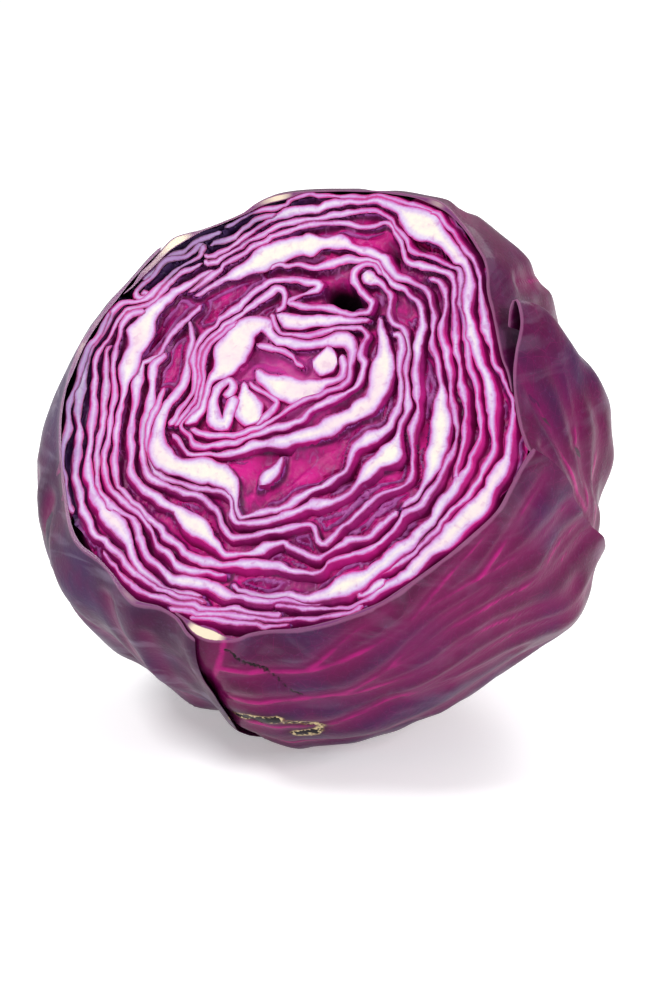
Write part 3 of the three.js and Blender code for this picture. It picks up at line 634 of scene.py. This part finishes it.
# veins, cracks and the dried tear as lines of (angle round the head, depth below the cut)
VEINS = [
    [[(270, 0), (268, 7), (263, 20), (255, 42), (245, 80), (235, 110)],
     [(268, 10), (280, 14), (296, 12), (312, 10), (326, 12), (340, 18), (352, 24), (366, 34)],
     [(266, 24), (284, 26), (302, 22), (318, 22), (332, 28), (346, 38), (360, 50)],
     [(262, 38), (282, 40), (300, 38), (318, 40), (334, 50), (348, 62)],
     [(258, 52), (280, 58), (300, 58), (318, 64), (334, 76)], [(250, 68), (280, 76), (300, 80), (320, 88)],
     [(310, 10), (322, 5), (334, 2)], [(326, 12), (338, 8), (350, 8)], [(300, 22), (312, 16), (326, 17)],
     [(286, 13), (296, 6), (306, 3)], [(288, 26), (304, 29), (318, 30), (330, 38), (342, 48)],
     [(300, 38), (312, 46), (326, 56)], [(332, 28), (344, 30), (356, 38)], [(286, 58), (300, 66)]],
    [[(345, 100), (350, 60), (358, 40), (368, 25), (380, 12), (388, 4)],
     [(352, 54), (364, 45), (378, 34), (392, 24)],
     [(346, 90), (364, 70), (380, 56), (396, 44)], [(356, 42), (358, 28), (364, 12), (372, 2)],
     [(349, 64), (350, 40), (352, 24), (356, 8)], [(366, 27), (374, 24), (384, 18)]],
    [[(258, 100), (240, 60), (225, 30), (210, 8)], [(235, 80), (215, 40), (200, 15)],
     [(215, 90), (195, 50), (180, 20), (170, 5)], [(250, 60), (243, 30), (238, 8)],
     [(262, 70), (252, 36), (250, 10)]],
    [[(60, 110), (70, 60), (75, 20), (78, 4)], [(68, 70), (50, 40), (40, 15)],
     [(72, 60), (95, 35), (110, 12)],
     [(66, 90), (35, 60), (20, 30)], [(120, 110), (125, 60), (130, 20)], [(74, 30), (62, 14), (56, 4)]],
]
CRACKS = [[(270, 3), (274, 9), (278, 16), (281, 24)], [(273, 8), (277, 13)],
          [(266, 34.8), (268.5, 34.4), (271, 33)], [(268, 36), (270, 37.5)], [(276, 36.5), (279, 38)]]
TEARS = [[(265, 36), (268, 33.5), (271, 32.5), (274, 33.5)], [(276, 36), (279, 37), (282, 40)],
         [(282, 40), (280, 44), (276, 44.5)]]


def mark_tree(lines, taper=0.0):
    """Every mark as a string of points on the outermost leaves, ready to measure from."""
    points, fade = [], []
    for line in lines:
        knots = [(angle, depth, 0) for angle, depth in line]
        string = drawn(knots, 0.7)
        fade.extend(taper * (string[:, 3] / string[-1, 3]) ** 1.5)
        for angle, depth, _, _ in string:
            sunk = smooth(depth, 0, CUT_DISTANCE)
            edge = outline(angle, depth)
            swell = (math.sqrt(1 - ((depth - CUT_DISTANCE) / HEAD_RADIUS) ** 2)
                     / math.sqrt(1 - (CUT_DISTANCE / HEAD_RADIUS) ** 2))
            turn = math.radians(angle)
            points.append((WHORL[0] * (1 - sunk) + edge * swell * math.cos(turn),
                           WHORL[1] * (1 - sunk) + edge * swell * math.sin(turn), depth))
    tree = kdtree.KDTree(len(points))
    for i, point in enumerate(points):
        tree.insert(point, i)
    tree.balance()
    return tree, fade


def wrapper_material(name, base, bloom, vein_tone, painted_sheen_strength):
    shader, place, material = new_material(name)
    across = attribute(place, "across")
    drop = attribute(place, "drop")
    vein = attribute(place, "vein")
    crack = attribute(place, "crack")
    tear = attribute(place, "tear")
    grain = noise(place, 900.0, 3.0)
    cloud = noise(place, 90.0, 4.0, 0.6)
    broad = noise(place, 22.0, 3.0, 0.3)
    net = place.node("ShaderNodeTexVoronoi", "Distance", {"feature": "DISTANCE_TO_EDGE"},
                     Vector=place, Scale=260.0)
    tone = blend(ramp(broad, 0.46, 0.68), colour(*base), colour(*bloom))
    tone = blend(ramp(cloud, 0.4, 0.7) * 0.3, tone, colour(104, 12, 74))
    tone = blend(ramp(net, 0.03, 0.0) * 0.1, tone, colour(*vein_tone))
    tone = blend(ramp(grain, 0.55, 0.8) * 0.16, tone, colour(110, 80, 130))
    # painted highlight: grey streaks of painted sheen laid into the skin colour, stronger on the left leaf
    painted_sheen = ramp(noise(place, 40.0, 3.0, 1.5, (1.0, 0.5, 2.2)), 0.5, 0.68) * painted_sheen_strength
    tone = blend(painted_sheen, tone, colour(128, 116, 138))
    flush = ramp(vein + (cloud - 0.5) * 5.0, 6.5, 0.4)
    tone = blend(flush * 0.6, tone, colour(116, 5, 78))
    line = ramp(vein + (cloud - 0.5) * 1.8, 1.5, 0.25)
    tone = blend(line * 0.66, tone, colour(*vein_tone))
    scorched = ramp(tear + (cloud - 0.5) * 7.0, 5.0, 1.6) * 0.65
    tone = blend(scorched, tone, colour(52, 20, 40))
    frayed = tear + (cloud - 0.5) * 6.0 + (grain - 0.5) * 3.0
    tone = blend(ramp(frayed, 2.3, 1.6), tone,
                 blend(ramp(grain, 0.42, 0.6), colour(96, 64, 50), colour(206, 186, 138)))
    # painted shade: the holes in the dried tear are painted near-black as the shade behind them
    tone = blend(ramp(frayed, 1.5, 1.2), tone, colour(18, 8, 14))
    # painted shade: the cracks are painted near-black as the shade inside them
    slit_shade = ramp(crack + (cloud - 0.5) * 1.6 + (grain - 0.5) * 1.0, 0.9, 0.45)
    tone = blend(slit_shade, tone, colour(20, 8, 14))
    inside = lesser(across, 1.0 - across) * attribute(place, "blade")
    rim = ramp(inside + (grain - 0.5) * 0.3, 0.16, 0.42) * ramp(drop, 2.2, 1.2)
    ribbed = ramp(attribute(place, "blade") + (cloud - 0.5), 1.2, 2.6)
    cream = blend(ribbed, colour(112, 50, 104), colour(226, 210, 184))
    # painted highlight: a thin pale pink line on the outer skin just under the cut edge
    edge_highlight = ramp(drop + (cloud - 0.5) * 1.5, 0.9, 0.2) * 0.4
    tone = blend(edge_highlight, tone, colour(168, 104, 146))
    tone = blend(rim, tone, cream)
    feed(tone, shader.inputs["Base Color"])
    height = grain * 0.25 + cloud * 0.6 + ramp(vein, 2.5, 0.0) * 0.7
    bump = place.node("ShaderNodeBump", Height=height, Strength=0.5, Distance=0.0009)
    feed(bump, shader.inputs["Normal"])
    gloss = broad * 0.25 + 0.28
    feed(gloss, shader.inputs["Roughness"])
    shader.inputs["Specular IOR Level"].default_value = 0.07
    shader.inputs["Coat Weight"].default_value = 0.12
    shader.inputs["Coat Roughness"].default_value = 0.1
    return material


marks = {"crack": mark_tree(CRACKS), "tear": mark_tree(TEARS)}
front_skin = wrapper_material("wrapper_leaf_front", (78, 8, 54), (58, 24, 68), (182, 10, 120), 0.14)
left_skin = wrapper_material("wrapper_leaf_left", (60, 18, 54), (64, 38, 80), (110, 14, 82), 0.4)
for number, (strips, veins) in enumerate(zip(WRAPPERS, VEINS), 1):
    marks["vein"] = mark_tree(veins, 1.0)
    mesh = leaf_blade(strips, 110, 1.0, 60 + number, ruffle=0.6, swell=-0.3, marks=marks)
    settled(mesh, f"wrapper_leaf_{number:02d}_blade", f"wrapper_leaf_{number:02d}",
            left_skin if number == 3 else front_skin)

# ---------------------------------------------------------------- stem and core
# The thick stalk that every leaf grows from, running up into the head as a pointed core.
# It is cut off short behind, where the end has dried brown round a ring of fibres.
STEM_PROFILE = [(0, 67, 0), (0.06, 67.6, 2.2), (0.3, 90, 6.4), (0.55, 112, 11), (0.7, 123, 14.1),
                (0.8, 129.6, 14.7), (0.84, 130.9, 13.9), (0.9, 130.7, 9), (1, 130.1, 0)]
bm = bmesh.new()
bmesh.ops.create_uvsphere(bm, u_segments=96, v_segments=90, radius=1)
stem_mesh, co = corners_of(bm, "stem")
share, at_depth, at_radius = (np.array(column, float) for column in zip(*STEM_PROFILE))
level = np.arccos(np.clip(co[:, 2], -1, 1)) / math.pi
turn = np.arctan2(co[:, 1], co[:, 0])
depth = np.interp(level, share, at_depth)
radius = np.interp(level, share, at_radius)
ragged = wave(np.cos(turn) * 12, np.sin(turn) * 12, depth, 9, 71)
radius = radius * (1 + 0.03 * ragged)
right, up = radius * np.cos(turn), radius * np.sin(turn)
depth = depth + 0.35 * smooth(level, 0.8, 0.86) * wave(right, up, 0, 5, 72)
placed(stem_mesh, right, up, depth, reach=radius, drop=depth)

stem_shader, stem_place, stem_flesh = new_material("stem_flesh")
fibre = noise(stem_place, 500.0, 4.0)
patch = noise(stem_place, 120.0, 3.0)
stem_reach = attribute(stem_place, "reach")
stem_end = ramp(attribute(stem_place, "drop"), 128.6, 130.0)
stem_tone = blend(ramp(patch, 0.35, 0.65), colour(214, 204, 190), colour(178, 142, 160))
cut_tone = blend(ramp(fibre * 0.6 + patch * 0.4, 0.4, 0.6), colour(222, 206, 172), colour(176, 146, 104))
ring = ramp(stem_reach, 8.6, 9.6) * ramp(stem_reach, 11.6, 10.6)
cut_tone = blend(ring * 0.55, cut_tone, colour(150, 118, 84))
cut_tone = blend(ramp(stem_reach + (patch - 0.5) * 3.0, 12.4, 14.2) * 0.8, cut_tone, colour(104, 66, 62))
feed(blend(stem_end, stem_tone, cut_tone), stem_shader.inputs["Base Color"])
feed(stem_place.node("ShaderNodeBump", Height=fibre, Strength=0.6, Distance=0.0006),
     stem_shader.inputs["Normal"])
stem_shader.inputs["Roughness"].default_value = 0.75
settled(stem_mesh, "stem_core_stump", "stem_core", stem_flesh)

# ---------------------------------------------------------------- floor, light and camera
# A plain white studio floor with a faint glow of its own, so that it stays pale, and three
# soft square lamps: one in front, one at the right and one behind the head.
floor_shader, _, floor_finish = new_material("floor_white")
floor_shader.inputs["Base Color"].default_value = (0.93, 0.93, 0.94, 1)
floor_shader.inputs["Roughness"].default_value = 0.6
floor_shader.inputs["Emission Color"].default_value = (1, 1, 1, 1)
floor_shader.inputs["Emission Strength"].default_value = 0.34
bm = bmesh.new()
bmesh.ops.create_grid(bm, x_segments=1, y_segments=1, size=4.0)
floor_mesh, _ = corners_of(bm, "floor")
floor = bpy.data.objects.new("floor", floor_mesh)
bpy.context.collection.objects.link(floor)
floor_mesh.materials.append(floor_finish)

world = bpy.data.worlds.new("studio")
bpy.context.scene.world = world
world.use_nodes = True
world.node_tree.nodes["Background"].inputs["Color"].default_value = (1, 1, 1, 1)
world.node_tree.nodes["Background"].inputs["Strength"].default_value = 0.46


def soft_light(name, place, size, power):
    """A square lamp pointed at the middle of the head."""
    data = bpy.data.lights.new(name, "AREA")
    data.size = size
    data.energy = power
    lamp = bpy.data.objects.new(name, data)
    lamp.location = place
    aim = Vector((0, 0, 0.08)) - Vector(place)
    lamp.rotation_euler = aim.to_track_quat("-Z", "Y").to_euler()
    bpy.context.collection.objects.link(lamp)


soft_light("key", (-0.5, -0.5, 1.0), 0.3, 8)
soft_light("side", (1.0, -0.3, 0.6), 0.4, 7)
soft_light("back", (0.2, 0.8, 0.8), 0.6, 6)

VIEW_AZIMUTH = math.radians(17.7)
VIEW_ELEVATION = math.radians(20.0)
VIEW_DISTANCE = 0.95
camera_data = bpy.data.cameras.new("camera")
camera_data.sensor_width = 36
camera_data.lens = 114
camera_data.shift_y = -0.032
camera = bpy.data.objects.new("camera", camera_data)
back = Vector((math.sin(VIEW_AZIMUTH) * math.cos(VIEW_ELEVATION),
               -math.cos(VIEW_AZIMUTH) * math.cos(VIEW_ELEVATION), math.sin(VIEW_ELEVATION)))
target = Vector(HEAD_MIDDLE * MM)
camera.location = target + back * VIEW_DISTANCE
camera.rotation_euler = (-back).to_track_quat("-Z", "Y").to_euler()
bpy.context.collection.objects.link(camera)
bpy.context.scene.camera = camera
bpy.context.scene.view_settings.view_transform = "Standard"
